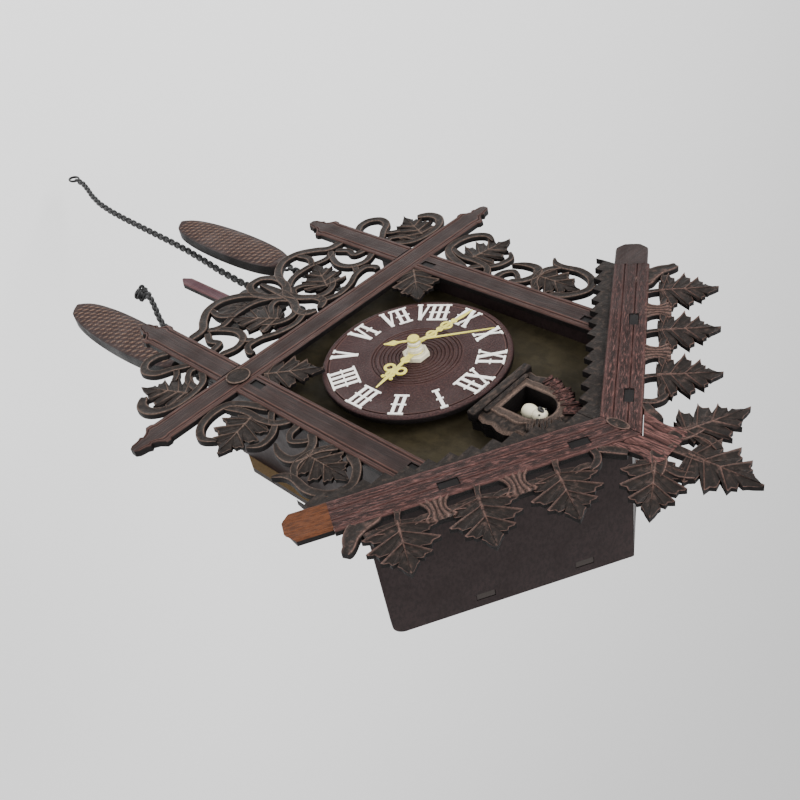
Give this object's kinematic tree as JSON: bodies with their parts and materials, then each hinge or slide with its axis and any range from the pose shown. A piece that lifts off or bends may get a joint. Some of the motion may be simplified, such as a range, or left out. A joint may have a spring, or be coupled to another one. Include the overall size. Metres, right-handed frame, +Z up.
{
  "type": "cuckoo clock",
  "caption": "Wall-hung carved wooden cuckoo clock with round dial, leaf and vine fretwork, gabled roof, swinging pendulum, flat cone weights on chains and a sliding bird.",
  "frame": {"origin": "on the wall plane, on the back of the hanger plate just under its keyhole", "axes": "+Z up, +Y into the wall, -Y out of the clock's face, +X to the viewer's right"},
  "size_m": [0.226, 0.0686, 0.5858],
  "materials": {
    "raw_board": "raw fibreboard, laser-cut edges",
    "olive_board": "dark olive stain, matt",
    "dark_wood": "dark stain, matt",
    "beam_wood": "dark stain, brushed back at the edges",
    "rose_wood": "reddish stain, dry-brushed",
    "carved_wood": "dark stain with pale carved veins",
    "dial_wood": "purple-brown stain, engraved",
    "cone_wood": "mauve-brown stain, engraved",
    "pale_gold": "pale gold lacquer",
    "ivory": "ivory",
    "black_chain": "black oxide",
    "steel": "plain",
    "brass": "plain",
    "black_plastic": "moulded, matt",
    "battery_foil": "printed sleeve, no marks"
  },
  "bodies": {
    "case": {"back_panel": "raw_board", "hanger_plate": "raw_board", "front_board": "olive_board", "base_board": "dark_wood", "dial_spacer": "dark_wood", "side_panel_left": "dark_wood", "side_panel_right": "dark_wood", "roof_board_left": "dark_wood", "roof_board_right": "dark_wood", "crown": "rose_wood", "fascia_left": "rose_wood", "fascia_right": "rose_wood", "cross_beam": "beam_wood", "upright_beam_left": "beam_wood", "upright_beam_right": "beam_wood", "vine_centre": "carved_wood", "rosette": "carved_wood", "stepped_trim_left": "carved_wood", "stepped_trim_right": "carved_wood", "vine_upper_left": "carved_wood", "vine_upper_right": "carved_wood", "vine_lower_left": "carved_wood", "vine_lower_right": "carved_wood", "vine_outer_left": "carved_wood", "vine_outer_right": "carved_wood", "corner_leaf_left": "carved_wood", "corner_leaf_right": "carved_wood", "house_back": "carved_wood", "house_front": "carved_wood", "house_box": "carved_wood", "dial": "dial_wood", "weight_hook_left": "black_chain", "weight_hook_right": "black_chain", "chain_hook_left": "black_chain", "chain_hook_right": "black_chain", "chain_left": "black_chain", "chain_right": "black_chain", "chain_ring": "black_chain", "chain_bunch": "black_chain", "threaded_bush": "brass", "bush_nut": "brass", "cuckoo_drive": "black_plastic", "movement_case": "black_plastic", "pendulum_hanger": "black_plastic", "battery": "battery_foil"},
    "minute": {"minute_hand": "pale_gold", "minute_shaft": "brass"},
    "hour": {"hour_hand": "pale_gold", "hour_tube": "black_plastic"},
    "second": {"second_hand": "pale_gold", "second_shaft": "steel"},
    "knob": {"setting_knob": "black_plastic"},
    "bird": {"cuckoo": "ivory", "cuckoo_arm": "steel"},
    "pendulum": {"pendulum_rod": "cone_wood", "pendulum_bob": "carved_wood"},
    "weight_left": {"weight_left": "cone_wood", "weight_chain_left": "black_chain"},
    "weight_right": {"weight_right": "cone_wood", "weight_chain_right": "black_chain"}
  },
  "joints": [
    {"name": "minute_hand_turn", "type": "hinge", "parent": "case", "child": "minute", "pos_m": [0, -0.065, -0.074], "axis": [0, 1, 0], "continuous": true},
    {"name": "hour_hand_turn", "type": "hinge", "parent": "case", "child": "hour", "pos_m": [0, -0.0616, -0.074], "axis": [0, 1, 0], "continuous": true},
    {"name": "second_hand_turn", "type": "hinge", "parent": "case", "child": "second", "pos_m": [0, -0.0672, -0.074], "axis": [0, 1, 0], "continuous": true},
    {"name": "setting_knob_turn", "type": "hinge", "parent": "case", "child": "knob", "pos_m": [0, -0.0286, -0.074], "axis": [0, 1, 0], "continuous": true},
    {"name": "bird_slide", "type": "slide", "parent": "case", "child": "bird", "axis": [0, -1, 0], "range_m": [0, 0.014]},
    {"name": "pendulum_swing", "type": "hinge", "parent": "case", "child": "pendulum", "pos_m": [0, -0.0386, -0.11], "axis": [0, 1, 0], "range_deg": [-8, 8]},
    {"name": "weight_left_swing", "type": "hinge", "parent": "case", "child": "weight_left", "pos_m": [-0.047, -0.03185, -0.1552], "axis": [0, 1, 0], "range_deg": [-6, 6]},
    {"name": "weight_right_swing", "type": "hinge", "parent": "case", "child": "weight_right", "pos_m": [0.047, -0.03185, -0.1552], "axis": [0, 1, 0], "range_deg": [-6, 6]}
  ],
  "couplings": [
    {"joint": "hour_hand_turn", "follows": "minute_hand_turn", "ratio": 0.083333},
    {"joint": "setting_knob_turn", "follows": "minute_hand_turn", "ratio": 1}
  ]
}
